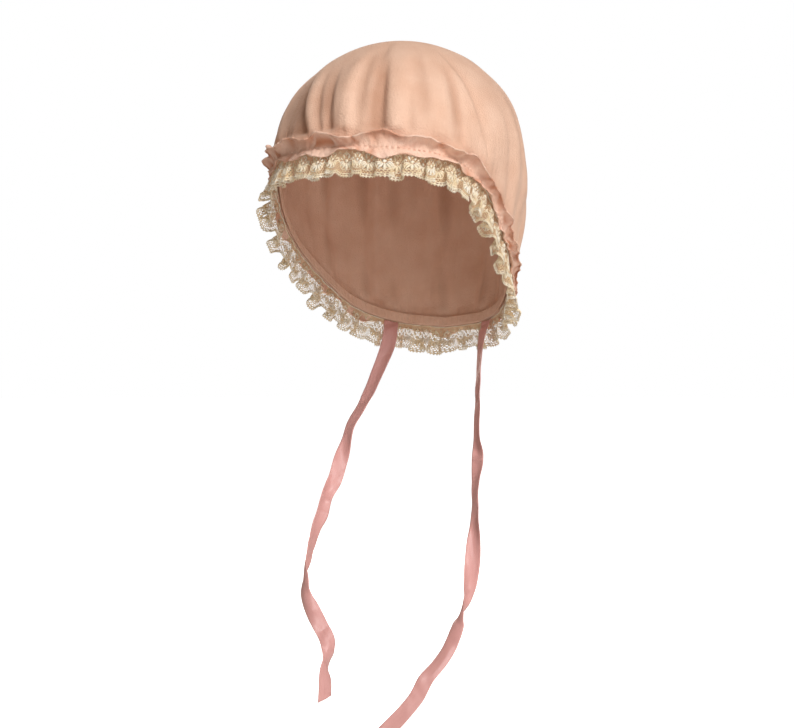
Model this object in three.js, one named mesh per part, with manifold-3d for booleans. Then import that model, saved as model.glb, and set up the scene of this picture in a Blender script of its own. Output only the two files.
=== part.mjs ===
// Gathered boudoir cap of peach-pink crepe with a puffed heading, a pleated lace frill and two ribbon ties.
// Millimetres. +Z is up, the wearer looks along -Y, +X is the wearer's left.
// The origin is the inside top of the crown, where the cap sits on the head.
import * as THREE from "three";
import { mergeVertices } from "three/addons/utils/BufferGeometryUtils.js";
import Module from "manifold-3d";

const wasm = await Module();
wasm.setup();

// Crown
const crownHalfWidth = 76.5;
const crownHalfLength = 91.5;
const crownForward = 7.5;
const domeHeight = 73;
const domeRoundness = 2;
const browDrop = 79.5;
const napeDrop = 181;
const drawnIn = 8;
const pouchDepth = 2.1;
const pouchAboveEdge = 48;
const pouchSpread = 22;
const clothThickness = 1.2;
const foldDepth = 4.5;
const backFoldDepth = 1.35;
const gatherDepth = 1.3;
const gatherReach = 30;
const gatherCount = 24;
const clearance = 0.4;

// Places on the crown, in degrees round it from the brow: where the pouch over the gathering starts and is full, and
// where the small folds of the back start and are full.
const pouchStart = 45;
const pouchFull = 90;
const backFoldsStart = 90;
const backFoldsFull = 110;

// Casing for the ribbon, inside the gathered edge
const casingWidth = 7;
const casingThickness = 1.1;

// Smooth edge of the crown that the casing lies behind, and the stretch above it where the folds die out
const smoothEdge = casingWidth + 1;
const foldFade = 12;

// Shares of the way down the crown: the stretch in which a fold grows to its depth, and where the small folds of the
// back start and reach theirs. lapSharpness: how suddenly a lapped fold changes to its steep side.
const foldStart = 0.3;
const backFoldTop = 0.25;
const backFoldFoot = 0.7;
const lapSharpness = 3;

// Heading, the puffed frill of crepe over the gathering
const headingAbove = 6.3;
const headingBelow = 4.2;
const headingThickness = 1;
const headingFlare = 2.1;
const headingPuff = 3;
const headingWaves = 38;
const headingWaveLean = 0.9;
const headingRagged = 0.26;

// Lace frill
const laceDepth = 17;
const laceThickness = 0.9;
const lacePleats = 42;
const lacePleatDepth = 3.8;
const lacePleatTuck = 0.4;
const lacePleatAtFoot = 0.06;
const laceFlare = 2.2;
const laceInset = 0.25;
const scallopDepth = 2.4;
const scallopsPerPleat = 2;
const eyeletWidth = 2.6;
const eyeletHeight = 5.2;
const eyeletLevel = 0.72;

// Ribbon ties
const ribbonWidth = 10;
const ribbonThickness = 0.9;

// Fineness of the faceted cloth
const crownSides = 88;
const crownRows = 10;
const sidesPerWave = 4;
const sidesPerScallop = 3;
const ribbonSteps = 40;

const degree = Math.PI / 180;
const fullTurn = 2 * Math.PI;

// Length of cloth from the crown's top down to its widest level, a quarter of an ellipse
const meanHalfSize = (crownHalfWidth + crownHalfLength) / 2;
const domeArc = (fullTurn / 4) * Math.SQRT1_2 * Math.hypot(domeHeight, meanHalfSize);

// The gathered edge round the head, from the wearer's right of the nape over the brow to the nape again.
// azimuth: degrees from the brow, + to the wearer's left. drop: share of the way from brow level to nape level.
// draw: share of drawnIn by which the gathering pulls the edge in.
const rimTable = [
  { azimuth: -180, drop: 1, draw: 1 },
  { azimuth: -155, drop: 0.96, draw: 1 },
  { azimuth: -132, drop: 0.86, draw: 0.95 },
  { azimuth: -114, drop: 0.72, draw: 0.9 },
  { azimuth: -98, drop: 0.59, draw: 0.7 },
  { azimuth: -85, drop: 0.47, draw: 0.4 },
  { azimuth: -76, drop: 0.34, draw: 0.05 },
  { azimuth: -68, drop: 0.19, draw: -0.15 },
  { azimuth: -59, drop: 0.06, draw: -0.1 },
  { azimuth: -48, drop: 0.015, draw: 0 },
  { azimuth: -25, drop: 0, draw: 0 },
  { azimuth: 0, drop: 0, draw: 0 },
  { azimuth: 25, drop: 0.02, draw: 0 },
  { azimuth: 45, drop: 0.07, draw: 0.1 },
  { azimuth: 62, drop: 0.18, draw: 0.45 },
  { azimuth: 78, drop: 0.34, draw: 0.85 },
  { azimuth: 92, drop: 0.48, draw: 1 },
  { azimuth: 112, drop: 0.66, draw: 1 },
  { azimuth: 133, drop: 0.84, draw: 1 },
  { azimuth: 152, drop: 0.95, draw: 1 },
  { azimuth: 180, drop: 1, draw: 1 },
];

// Sections of the crown below its widest level, where the gathering draws it in.
// drop: share of the way from there to the gathered edge. draw: share of the whole draw.
const flankTable = [
  { drop: 0, draw: 0 },
  { drop: 0.3, draw: 0 },
  { drop: 0.5, draw: 0.24 },
  { drop: 0.75, draw: 0.62 },
  { drop: 1, draw: 1 },
];

// Folds that run up from the gathering. foot and head: azimuth in degrees at the lower and the upper end.
// spread: half width in degrees. depth: share of foldDepth, + for a ridge. top: share of the way down where it starts.
// lap: how much steeper its side towards the wearer's left is, where cloth laps over.
const foldTable = [
  { foot: -62, head: -60, spread: 6, depth: 0.35, top: 0.35, lap: 0 },
  { foot: -44, head: -60, spread: 5, depth: 0.3, top: 0.35, lap: 0 },
  { foot: -17, head: -53, spread: 9, depth: -0.85, top: 0.42, lap: 0.78 },
  { foot: -12, head: -38, spread: 3.5, depth: 0.35, top: 0.4, lap: 0 },
  { foot: -9, head: -30, spread: 3, depth: -0.5, top: 0.52, lap: 0.6 },
  { foot: -5, head: -18, spread: 3.6, depth: -0.75, top: 0.48, lap: 0.5 },
  { foot: 1, head: -4, spread: 4, depth: 0.35, top: 0.35, lap: 0 },
  { foot: 6, head: 3, spread: 2.6, depth: -0.25, top: 0.35, lap: 0.3 },
  { foot: 10.5, head: 8, spread: 3, depth: 0.3, top: 0.4, lap: 0 },
  { foot: 12, head: 8, spread: 3.5, depth: -0.3, top: 0.18, lap: 0.2 },
  { foot: 15, head: 11, spread: 3.6, depth: -0.95, top: 0.44, lap: 0.6 },
  { foot: 21, head: 20, spread: 4, depth: 0.3, top: 0.4, lap: 0 },
  { foot: 26, head: 23, spread: 2.6, depth: -0.32, top: 0.62, lap: 0.5 },
  { foot: 32.5, head: 27, spread: 3, depth: -0.28, top: 0.3, lap: 0.3 },
  { foot: 41, head: 36, spread: 3.5, depth: 0.35, top: 0.35, lap: 0 },
  { foot: 47.5, head: 41, spread: 4, depth: -0.5, top: 0.42, lap: 0.5 },
  { foot: 66, head: 35, spread: 2.6, depth: -0.2, top: 0.25, lap: -0.4 },
  { foot: 84, head: 68, spread: 3.6, depth: -0.2, top: 0.5, lap: -0.3 },
  { foot: 90, head: 84, spread: 4, depth: 0.35, top: 0.4, lap: 0 },
];

// Small uneven folds round the back. count: how many go round the cap. depth: share of backFoldDepth.
// start: radians by which the first one is turned.
const backFoldTable = [
  { count: 17, depth: 1, start: 1.3 },
  { count: 29, depth: 0.7, start: 0.4 },
];

// How the heading's waves crowd and thin out round the cap, in radians of a wave, and how its edges rise and fall.
const headingDriftTable = [
  { count: 5, depth: 1.1, start: 0 },
  { count: 9, depth: 0.9, start: 1 },
];
const headingEdgeTable = [
  { count: 19, depth: 0.7, start: 0 },
  { count: 7, depth: 0.3, start: 2 },
];

// How the lace's pleats crowd and thin out round the cap, in radians of a pleat.
const laceDriftTable = [
  { count: 5, depth: 1, start: 1 },
  { count: 11, depth: 0.7, start: 0 },
  { count: 17, depth: 0.4, start: 2 },
];

// How the depth of the lace's pleats differs round the cap, as shares of lacePleatDepth.
const laceUnevenTable = [
  { count: 7, depth: 0.25, start: 1 },
  { count: 13, depth: 0.15, start: 0 },
];

// Routes of the two ties, from the casing down. Hand-chosen points of the middle of the ribbon.
// turn: degrees that the ribbon's face is turned about its own run.
const leftTieRoute = [
  { x: 35.1, y: 61.3, z: -177.2, turn: 35 },
  { x: 34.1, y: 57, z: -185, turn: 42 },
  { x: 33.3, y: 54, z: -195, turn: 50 },
  { x: 33, y: 51, z: -210, turn: 55 },
  { x: 33, y: 48, z: -233, turn: 53 },
  { x: 34, y: 44, z: -257, turn: 48 },
  { x: 36, y: 40, z: -271, turn: 21 },
  { x: 36, y: 35, z: -288, turn: 44 },
  { x: 38, y: 28, z: -309, turn: 44 },
  { x: 39, y: 23, z: -324, turn: 8 },
  { x: 40, y: 18, z: -338, turn: -22 },
  { x: 40, y: 13, z: -354, turn: -59 },
  { x: 39, y: 8, z: -364, turn: -97 },
  { x: 37, y: 3, z: -372, turn: -137 },
  { x: 36, y: -1, z: -379, turn: -165 },
  { x: 34, y: -9, z: -389, turn: -172 },
  { x: 30, y: -17, z: -398, turn: -180 },
  { x: 24, y: -26, z: -407, turn: -185 },
  { x: 20, y: -32, z: -417, turn: -187 },
  { x: 14, y: -39, z: -426, turn: -190 },
  { x: 8, y: -43, z: -433, turn: -192 },
  { x: 0, y: -48, z: -442, turn: -194 },
];
const rightTieRoute = [
  { x: -35.1, y: 61.3, z: -177.2, turn: -32 },
  { x: -34.1, y: 57, z: -185, turn: -25 },
  { x: -35, y: 54, z: -195, turn: -15 },
  { x: -39, y: 48, z: -210, turn: 5 },
  { x: -46, y: 42, z: -230, turn: 20 },
  { x: -54, y: 35, z: -248, turn: 26 },
  { x: -56, y: 30, z: -260, turn: 20 },
  { x: -57, y: 23, z: -273, turn: -22 },
  { x: -58, y: 16, z: -286, turn: -42 },
  { x: -60, y: 8, z: -296, turn: -67 },
  { x: -60, y: 0, z: -308, turn: -65 },
  { x: -62, y: -5, z: -317, turn: -78 },
  { x: -62, y: -12, z: -327, turn: -88 },
  { x: -62, y: -18, z: -338, turn: -98 },
  { x: -61, y: -23, z: -348, turn: -135 },
  { x: -59, y: -27, z: -358, turn: -152 },
  { x: -53, y: -30, z: -367, turn: -182 },
  { x: -47, y: -33, z: -375, turn: -202 },
  { x: -41, y: -35, z: -383, turn: -207 },
  { x: -39, y: -37, z: -390, turn: -237 },
  { x: -39, y: -40, z: -397, turn: -268 },
  { x: -39, y: -43, z: -403, turn: -262 },
  { x: -38, y: -44, z: -410, turn: -244 },
  { x: -37, y: -46, z: -420, turn: -237 },
];

function smoothStep(from, to, value) {
  const share = THREE.MathUtils.clamp((value - from) / (to - from), 0, 1);
  return share * share * (3 - 2 * share);
}

// Reads one column of a table at a value of another, on a smooth curve through its rows.
function readTable(rows, along, column, value) {
  let i = 0;
  while (i < rows.length - 2 && rows[i + 1][along] < value) i += 1;
  const slope = (k) => {
    const before = rows[Math.max(k - 1, 0)];
    const after = rows[Math.min(k + 1, rows.length - 1)];
    return (after[column] - before[column]) / (after[along] - before[along]);
  };
  const step = rows[i + 1][along] - rows[i][along];
  const t = (value - rows[i][along]) / step;
  const [t2, t3] = [t * t, t * t * t];
  return (
    (2 * t3 - 3 * t2 + 1) * rows[i][column] +
    (t3 - 2 * t2 + t) * step * slope(i) +
    (3 * t2 - 2 * t3) * rows[i + 1][column] +
    (t3 - t2) * step * slope(i + 1)
  );
}

// Sum of a table's waves at an angle in radians.
function sumWaves(rows, angle) {
  return rows.reduce((sum, { count, depth, start }) => sum + depth * Math.sin(count * angle + start), 0);
}

function wrapAzimuth(azimuth) {
  return THREE.MathUtils.euclideanModulo(azimuth + 180, 360) - 180;
}

function rimDrop(azimuth) {
  return browDrop + (napeDrop - browDrop) * readTable(rimTable, "azimuth", "drop", wrapAzimuth(azimuth));
}

// Share of the half width that the crown reaches at a depth below its top.
function crownReach(azimuth, drop) {
  if (drop < domeHeight) {
    const height = 1 - drop / domeHeight;
    return (1 - height ** domeRoundness) ** (1 / domeRoundness);
  }
  const share = (drop - domeHeight) / (rimDrop(azimuth) - domeHeight);
  const draw = readTable(flankTable, "drop", "draw", share) * readTable(rimTable, "azimuth", "draw", azimuth);
  return 1 - (draw * drawnIn) / crownHalfWidth;
}

// Length of the way down the crown to its gathered edge.
function meridianLength(azimuth) {
  const drop = rimDrop(azimuth);
  if (drop > domeHeight) return domeArc + drop - domeHeight;
  return (domeArc * Math.acos(1 - drop / domeHeight)) / (Math.PI / 2);
}

// Point of the crown's smooth inner face, at a length of way down from the top.
function crownBase(angle, way) {
  const azimuth = wrapAzimuth(angle);
  const onDome = way < domeArc;
  const drop = onDome ? domeHeight * (1 - Math.cos(((Math.PI / 2) * way) / domeArc)) : domeHeight + way - domeArc;
  const [east, north] = [Math.sin(azimuth * degree), -Math.cos(azimuth * degree)];
  const radius = crownReach(azimuth, drop) / Math.hypot(east / crownHalfWidth, north / crownHalfLength);
  const shift = crownForward * smoothStep(0, domeHeight, drop);
  return new THREE.Vector3(east * radius, north * radius - shift, -drop);
}

// Outward direction of the smooth inner face.
function crownNormal(azimuth, way) {
  if (way < 1) return new THREE.Vector3(0, 0, 1);
  const [turn, step] = [0.5, 0.5];
  const across = crownBase(azimuth + turn, way).sub(crownBase(azimuth - turn, way));
  const down = crownBase(azimuth, way + step).sub(crownBase(azimuth, way - step));
  return across.cross(down).normalize().negate();
}

// How far the folds and gathers lift the cloth.
function foldLift(azimuth, way) {
  const length = meridianLength(azimuth);
  const share = way / length;
  const fromBrow = Math.abs(wrapAzimuth(azimuth));
  let lift = 0;
  for (const fold of foldTable) {
    const middle = THREE.MathUtils.lerp(fold.head, fold.foot, share);
    const turned = wrapAzimuth(azimuth - middle) / fold.spread;
    const away = turned / (1 - fold.lap * Math.tanh(lapSharpness * turned));
    lift += fold.depth * foldDepth * Math.exp(-away * away) * smoothStep(fold.top, fold.top + foldStart, share);
  }
  const behind = smoothStep(backFoldsStart, backFoldsFull, fromBrow) * smoothStep(backFoldTop, backFoldFoot, share);
  lift += backFoldDepth * behind * sumWaves(backFoldTable, azimuth * degree);
  const overPouch = (length - way - pouchAboveEdge) / pouchSpread;
  lift += pouchDepth * Math.exp(-overPouch * overPouch) * smoothStep(pouchStart, pouchFull, fromBrow);
  const gather = 0.5 + 0.5 * Math.sin(azimuth * degree * gatherCount);
  lift += gatherDepth * gather * smoothStep(length - gatherReach, length - gatherReach / 2, way);
  return lift * (1 - smoothStep(length - smoothEdge - foldFade, length - smoothEdge, way));
}

// Azimuth at a share of the gathered edge's length, so that frills are spread evenly along it.
const rimSamples = 720;
const rimLengths = [0];
for (let i = 1; i <= rimSamples; i += 1) {
  const [before, after] = [i - 1, i].map((k) => (k / rimSamples) * 360 - 180);
  const reach = crownBase(after, meridianLength(after)).distanceTo(crownBase(before, meridianLength(before)));
  rimLengths.push(rimLengths[i - 1] + reach);
}
const rimLength = rimLengths[rimSamples];

function rimAzimuth(share) {
  const target = THREE.MathUtils.euclideanModulo(share, 1) * rimLength;
  const i = Math.max(rimLengths.findIndex((length) => length > target), 1);
  const part = (target - rimLengths[i - 1]) / (rimLengths[i] - rimLengths[i - 1]);
  return ((i - 1 + part) / rimSamples) * 360 - 180;
}

// Frame at the gathered edge: its point, the way along it, the way out of the cloth and the way a frill hangs.
function rimFrame(azimuth) {
  const edge = (angle) => crownBase(angle, meridianLength(angle));
  const point = edge(azimuth);
  const along = edge(azimuth + 1).sub(edge(azimuth - 1)).normalize();
  const out = crownNormal(azimuth, meridianLength(azimuth));
  const down = along.clone().cross(out).normalize();
  if (down.z > 0) down.negate();
  return { point, along, out, down };
}

function fromRim(frame, below, outwards, sideways = 0) {
  return frame.point
    .clone()
    .addScaledVector(frame.down, below)
    .addScaledVector(frame.out, outwards)
    .addScaledVector(frame.along, sideways);
}

// Closes a geometry whose vertices have been moved into place: seams and poles are merged.
function weld(geometry) {
  geometry.deleteAttribute("normal");
  geometry.deleteAttribute("uv");
  return mergeVertices(geometry, 1e-3);
}

// Splits the facets of the outer half of a section along the same lines as the inner half, so that a wall whose
// facets are twisted keeps its thickness.
function matchFacets(geometry, sides, sectionPoints) {
  const index = [];
  for (let side = 0; side < sides; side += 1) {
    for (let j = 0; j < sectionPoints; j += 1) {
      const a = side * (sectionPoints + 1) + j;
      const b = a + sectionPoints + 1;
      const [c, d] = [b + 1, a + 1];
      index.push(...(j < sectionPoints / 2 ? [a, b, d, c, d, b] : [a, b, c, a, c, d]));
    }
  }
  geometry.setIndex(index);
}

// A closed section carried round the cap. place(share, index) gives each point of each section.
function ring(sides, sectionPoints, place) {
  const outline = Array.from({ length: sectionPoints + 1 }, () => new THREE.Vector2(1, 1));
  const geometry = new THREE.LatheGeometry(outline, sides);
  const position = geometry.getAttribute("position");
  for (let side = 0; side <= sides; side += 1) {
    for (let index = 0; index <= sectionPoints; index += 1) {
      const point = place((side % sides) / sides, index % sectionPoints);
      position.setXYZ(side * (sectionPoints + 1) + index, point.x, point.y, point.z);
    }
  }
  matchFacets(geometry, sides, sectionPoints);
  return weld(geometry);
}

// Way down the crown at each row of facets: even rows, then one smooth row that the casing lies behind.
function rowWay(row, length) {
  return row === crownRows ? length : (row / (crownRows - 1)) * (length - smoothEdge);
}

function makeCrown() {
  const outline = Array.from({ length: 2 * crownRows + 2 }, () => new THREE.Vector2(1, 1));
  const geometry = new THREE.LatheGeometry(outline, crownSides);
  const position = geometry.getAttribute("position");
  for (let side = 0; side <= crownSides; side += 1) {
    const azimuth = rimAzimuth((side % crownSides) / crownSides);
    for (let index = 0; index < outline.length; index += 1) {
      const inner = index <= crownRows;
      const row = inner ? index : 2 * crownRows + 1 - index;
      const way = rowWay(row, meridianLength(azimuth));
      const lift = row === 0 ? 0 : foldLift(azimuth, way);
      const point = crownBase(row === 0 ? 0 : azimuth, way);
      point.addScaledVector(crownNormal(azimuth, way), lift + (inner ? 0 : clothThickness));
      position.setXYZ(side * outline.length + index, point.x, point.y, point.z);
    }
  }
  matchFacets(geometry, crownSides, outline.length - 1);
  return weld(geometry);
}

function makeCasing() {
  return ring(crownSides, 4, (share, index) => {
    const azimuth = rimAzimuth(share);
    const foot = meridianLength(azimuth) + clearance;
    const way = index === 0 || index === 3 ? foot - casingWidth : foot;
    const inwards = index < 2 ? clearance + casingThickness : clearance;
    return crownBase(azimuth, way).addScaledVector(crownNormal(azimuth, way), -inwards);
  });
}

// Place of the heading's inner face at a share along it and across it, from -1 at its top edge to 1 at its lower edge.
function headingPlace(share, across) {
  const turn = share * fullTurn;
  const wave = Math.sin(turn * headingWaves + sumWaves(headingDriftTable, turn) + headingWaveLean * across);
  const lift = (headingFlare + headingPuff * (0.5 + 0.5 * wave)) * across * across;
  const edge = 1 + headingRagged * sumWaves(headingEdgeTable, turn);
  const below = (across < 0 ? headingAbove : headingBelow) * across * edge;
  return { below, outwards: clothThickness + clearance + lift };
}

function makeHeading() {
  const acrossRows = [-1, 0, 1, 1, 0, -1];
  return ring(headingWaves * sidesPerWave, acrossRows.length, (share, index) => {
    const { below, outwards } = headingPlace(share, acrossRows[index]);
    const face = index < acrossRows.length / 2 ? 0 : headingThickness;
    return fromRim(rimFrame(rimAzimuth(share)), below, outwards + face);
  });
}

// Share of the gathered edge's length at which a share of the lace's own length is sewn on.
function laceSeam(share) {
  return share + sumWaves(laceDriftTable, share * fullTurn) / (fullTurn * lacePleats);
}

// Place of the lace's middle layer at a share of its length and a share of its depth.
function lacePlace(share, depthShare) {
  const phase = share * fullTurn * lacePleats;
  const uneven = 1 + sumWaves(laceUnevenTable, share * fullTurn);
  const depth = lacePleatDepth * uneven * THREE.MathUtils.lerp(lacePleatAtFoot, 1, depthShare);
  const outwards = laceInset + laceThickness / 2 + laceFlare * depthShare + depth * Math.sin(phase);
  const sideways = -lacePleatTuck * depth * Math.sin(2 * phase);
  const scallop = Math.abs(Math.sin((phase * scallopsPerPleat) / 2));
  const below = clearance + depthShare * (laceDepth - scallopDepth * (1 - scallop));
  return { below, outwards, sideways };
}

// Direction through the lace at a place, in the frame of the gathered edge.
function laceFacing(share, depthShare) {
  const step = 1 / (20 * lacePleats);
  const [before, after] = [lacePlace(share - step, depthShare), lacePlace(share + step, depthShare)];
  const run = after.sideways - before.sideways + (laceSeam(share + step) - laceSeam(share - step)) * rimLength;
  const rise = after.outwards - before.outwards;
  const size = Math.hypot(run, rise);
  return { outwards: run / size, sideways: -rise / size };
}

function makeLace() {
  const depthRows = [0, 1, 1, 0];
  const sides = lacePleats * scallopsPerPleat * sidesPerScallop;
  const frill = ring(sides, depthRows.length, (share, index) => {
    const { below, outwards, sideways } = lacePlace(share, depthRows[index]);
    const facing = laceFacing(share, depthRows[index]);
    const face = (index < depthRows.length / 2 ? -1 : 1) * (laceThickness / 2);
    return fromRim(
      rimFrame(rimAzimuth(laceSeam(share))),
      below,
      outwards + face * facing.outwards,
      sideways + face * facing.sideways,
    );
  });
  return cutEyelets(frill);
}

function solidOf(geometry) {
  return new wasm.Manifold(
    new wasm.Mesh({
      numProp: 3,
      vertProperties: new Float32Array(geometry.getAttribute("position").array),
      triVerts: new Uint32Array(geometry.index.array),
    }),
  );
}

function geometryOf(solid) {
  const mesh = solid.getMesh();
  return new THREE.BufferGeometry()
    .setAttribute("position", new THREE.BufferAttribute(mesh.vertProperties, 3))
    .setIndex(new THREE.BufferAttribute(mesh.triVerts, 1));
}

// One pierced lozenge through the net in the middle of each scallop.
function cutEyelets(frill) {
  let solid = solidOf(frill);
  const eyelets = lacePleats * scallopsPerPleat;
  const cutDepth = 4 * laceThickness;
  for (let i = 0; i < eyelets; i += 1) {
    const share = (i + 0.5) / eyelets;
    const frame = rimFrame(rimAzimuth(laceSeam(share)));
    const { below, outwards, sideways } = lacePlace(share, eyeletLevel);
    const lozenge = new THREE.CylinderGeometry(1, 1, 1, 4);
    lozenge.scale(eyeletWidth / 2, cutDepth, eyeletHeight / 2);
    const cutter = weld(lozenge);
    const place = new THREE.Matrix4().makeBasis(frame.along, frame.out, frame.down);
    place.setPosition(fromRim(frame, below, outwards, sideways));
    cutter.applyMatrix4(place);
    solid = solid.subtract(solidOf(cutter));
  }
  return geometryOf(solid);
}

// A flat ribbon laid along its route.
function makeTie(route) {
  const curve = new THREE.CatmullRomCurve3(route.map(({ x, y, z }) => new THREE.Vector3(x, y, z)));
  const geometry = new THREE.BoxGeometry(ribbonWidth, ribbonThickness, 1, 1, 1, ribbonSteps);
  const position = geometry.getAttribute("position");
  for (let i = 0; i < position.count; i += 1) {
    const share = Math.round((0.5 - position.getZ(i)) * ribbonSteps) / ribbonSteps;
    const rows = route.map(({ turn }, k) => ({ share: k / (route.length - 1), turn }));
    const turn = readTable(rows, "share", "turn", share) * degree;
    const down = curve.getTangent(share);
    const level = new THREE.Vector3(1, 0, 0).addScaledVector(down, -down.x).normalize();
    const deep = down.clone().cross(level);
    const width = level.clone().multiplyScalar(Math.cos(turn)).addScaledVector(deep, Math.sin(turn));
    const face = width.clone().cross(down);
    const point = curve.getPoint(share);
    point.addScaledVector(width, position.getX(i)).addScaledVector(face, position.getY(i));
    position.setXYZ(i, point.x, point.y, point.z);
  }
  return weld(geometry);
}

function cloth(name, geometry, color, roughness) {
  const mesh = new THREE.Mesh(geometry, new THREE.MeshStandardMaterial({ color, roughness, metalness: 0 }));
  mesh.name = name;
  return mesh;
}

const bonnet = new THREE.Group();
bonnet.add(cloth("crown", makeCrown(), 0xf0c3a8, 0.85));
bonnet.add(cloth("casing", makeCasing(), 0xe9b8a0, 0.85));
bonnet.add(cloth("heading_frill", makeHeading(), 0xf8ccb6, 0.85));
bonnet.add(cloth("lace_frill", makeLace(), 0xf6e4c6, 0.9));
bonnet.add(cloth("tie_left", makeTie(leftTieRoute), 0xdf9f9a, 0.4));
bonnet.add(cloth("tie_right", makeTie(rightTieRoute), 0xdf9f9a, 0.4));

export default bonnet;
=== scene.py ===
"""Gathered boudoir cap of peach-pink crepe with a puffed heading, a pleated lace frill and two satin ties.

Shapes are worked out in millimetres and written to meshes in metres. The origin is the inside top of the
crown, +Z is up, the wearer looks along -Y and +X is the wearer's left.
"""
import math

import bmesh
import bpy
import numpy as np
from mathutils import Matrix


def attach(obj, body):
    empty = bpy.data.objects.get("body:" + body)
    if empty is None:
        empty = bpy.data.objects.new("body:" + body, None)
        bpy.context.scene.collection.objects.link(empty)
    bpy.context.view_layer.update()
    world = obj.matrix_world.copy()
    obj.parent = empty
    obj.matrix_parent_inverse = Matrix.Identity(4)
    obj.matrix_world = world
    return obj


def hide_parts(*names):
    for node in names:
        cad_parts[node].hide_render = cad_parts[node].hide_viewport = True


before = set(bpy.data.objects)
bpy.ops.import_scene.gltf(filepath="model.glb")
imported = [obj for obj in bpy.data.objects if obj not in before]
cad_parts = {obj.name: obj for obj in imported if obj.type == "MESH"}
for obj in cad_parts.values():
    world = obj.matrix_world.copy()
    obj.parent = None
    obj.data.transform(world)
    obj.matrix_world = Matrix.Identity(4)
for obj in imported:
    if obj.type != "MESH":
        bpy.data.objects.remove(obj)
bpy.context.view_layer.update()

MM = 0.001


def table(columns, *rows):
    """Rows with named columns."""
    return [dict(zip(columns.split(), row)) for row in rows]


def waves(*rows):
    """Waves that are added up. count: how many go round. depth: share of the named depth. start: radians."""
    return table("count depth start", *rows)


# Crown
CROWN_HALF_WIDTH = 76.5
CROWN_HALF_LENGTH = 91.5
CROWN_FORWARD = 7.5
DOME_HEIGHT = 73
BROW_DROP = 79.5
NAPE_DROP = 181
DRAWN_IN = 8
POUCH_DEPTH = 2.1
POUCH_ABOVE_EDGE = 48
POUCH_SPREAD = 22
WALL = 1.2
FOLD_DEPTH = 4.5
BACK_FOLD_DEPTH = 1.35
GATHER_DEPTH = 1.3
GATHER_REACH = 30
GATHER_COUNT = 24
CREPE_THICKNESS = 0.45
CLEARANCE = 0.4

# Where the pouch and the small folds of the back start and are full: degrees from the brow, and for those
# folds shares of the way down. FOLD_GROWTH: share of the way in which a fold grows to its depth.
POUCH_FROM = (45, 90)
BACK_FOLDS_FROM = (90, 110)
BACK_FOLDS_DOWN = (0.25, 0.7)
FOLD_GROWTH = 0.3
LAP_SHARPNESS = 3

# Fine gathers that fan up from the edge, the soft dents of thin cloth, and the share of FOLD_DEPTH at
# which a fold has its full painted shade
FINE_GATHERS = 118
FINE_GATHER_DEPTH = 1.15
FINE_GATHER_REACH = 15
FINE_GATHER_LEAN = 0.02
FINE_GATHER_SHARPNESS = 0.75
FINE_GATHER_LEVEL = 0.62
SOFT_DENT_DEPTH = 0.55
HOLLOW_AT = 0.6

# Casing, and the smooth edge of the crown that it lies behind
CASING_WIDTH = 7
CASING_THICKNESS = 1.1
CASING_PUCKER = 0.22
CASING_PUCKERS = 140
SMOOTH_EDGE = CASING_WIDTH + 1
FOLD_FADE = 5

# Heading. slim: how much flatter it is at the wearer's left temple. calm: the same behind the right
# temple. rise: how unevenly its edges stand. A hem rolls through pairs of offsets, on past the edge and
# outwards.
HEADING_ABOVE = 6.3
HEADING_BELOW = 4.2
HEADING_FLARE = 2.1
HEADING_WAVES = 38
HEADING_WAVE_LEAN = 0.9
HEADING_RAGGED = 0.26
HEADING_LOBE = 2.7
HEADING_LOBES = 26
HEADING_CRUMPLE = 0.7
HEADING_RISE = 0.45
HEADING_SLIM = 0.3
HEADING_CALM = 0.6
HEADING_CRIMP = 0.16
HEADING_CRIMPS = 150
HEADING_OFF_CROWN = 0.35
HEADING_SPRING = 1.2
HEADING_SWAY = 0.7
HEADING_EDGE_CRUMPLE = 0.5
UPPER_HEM_ROLL = [(0.5, 0.2), (0.65, 0.6), (0.3, 1.1), (-0.3, 1.15)]
LOWER_HEM_ROLL = [(0.4, -0.2), (0.6, -0.7), (0.3, -1.2), (-0.15, -1.2)]

# Lace. inset: how far its seam stands off the cloth. panel: how flat the faces of the pleats are.
LACE_DEPTH = 17
LACE_PLEATS = 42
LACE_PLEAT_DEPTH = 3.8
LACE_PLEAT_TUCK = 0.6
LACE_PLEAT_AT_FOOT = 0.06
LACE_FLARE = 3.4
LACE_INSET = 1
LACE_FULLNESS = 1.75
LACE_PANEL = 2.6
SCALLOP_DEPTH = 1.6
SCALLOPS = 84
NET_COLUMNS = 10
NET_THREAD_WIDTH = 0.34
NET_TOP = 0.5
NET_OFF_EDGE = 0.9
LACE_LEAN = 0.5
LACE_SWAY = 1.8
LACE_FLUTTER = 0.4

# One scallop of the lace. x: mm from the line that "at" names, the scallop's middle at 0 or its side at
# 1. y: mm down the lace. angle: degrees from straight down. A leaf that leans is made on both sides.
SHELL_LEVEL = 8.2
LEAF_TABLE = table(
    "at x y angle length width",
    (0, 0, 7.1, 0, 2.2, 1.9),
    (0, 0.9, 7.0, 150, 3.2, 1.3),
    (0, 2.2, 7.8, 118, 2.8, 1.1),
    (0, 0, 2.2, 0, 3.0, 1.5),
    (0, 0, 3.2, 55, 2.4, 1.1),
    (1, 0, 2.6, 40, 2.2, 1.1),
    (1, 0, 6.0, 0, 3.0, 1.4),
    (1, 0, 8.2, 65, 1.9, 1.0),
)

# The two cords along the scalloped edge, and the short leaves that stand on it and bridge it
EDGE_CORD_TABLE = table("rise radius", (0.0, 0.42), (-1.25, 0.34))
PICOTS = 11
EDGE_BARS = 9

# Running stitches. levels: shares of the way down the heading. arch: along and up from the cloth.
STITCH_PITCH = 3.1
STITCH_LEVELS = (0.5, 0.58)
STITCH_ARCH = [(-0.95, 0), (-0.8, 0.2), (0, 0.32), (0.8, 0.2), (0.95, 0)]
STITCH_RADIUS = 0.16
STITCH_UNEVENNESS = 0.12

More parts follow.
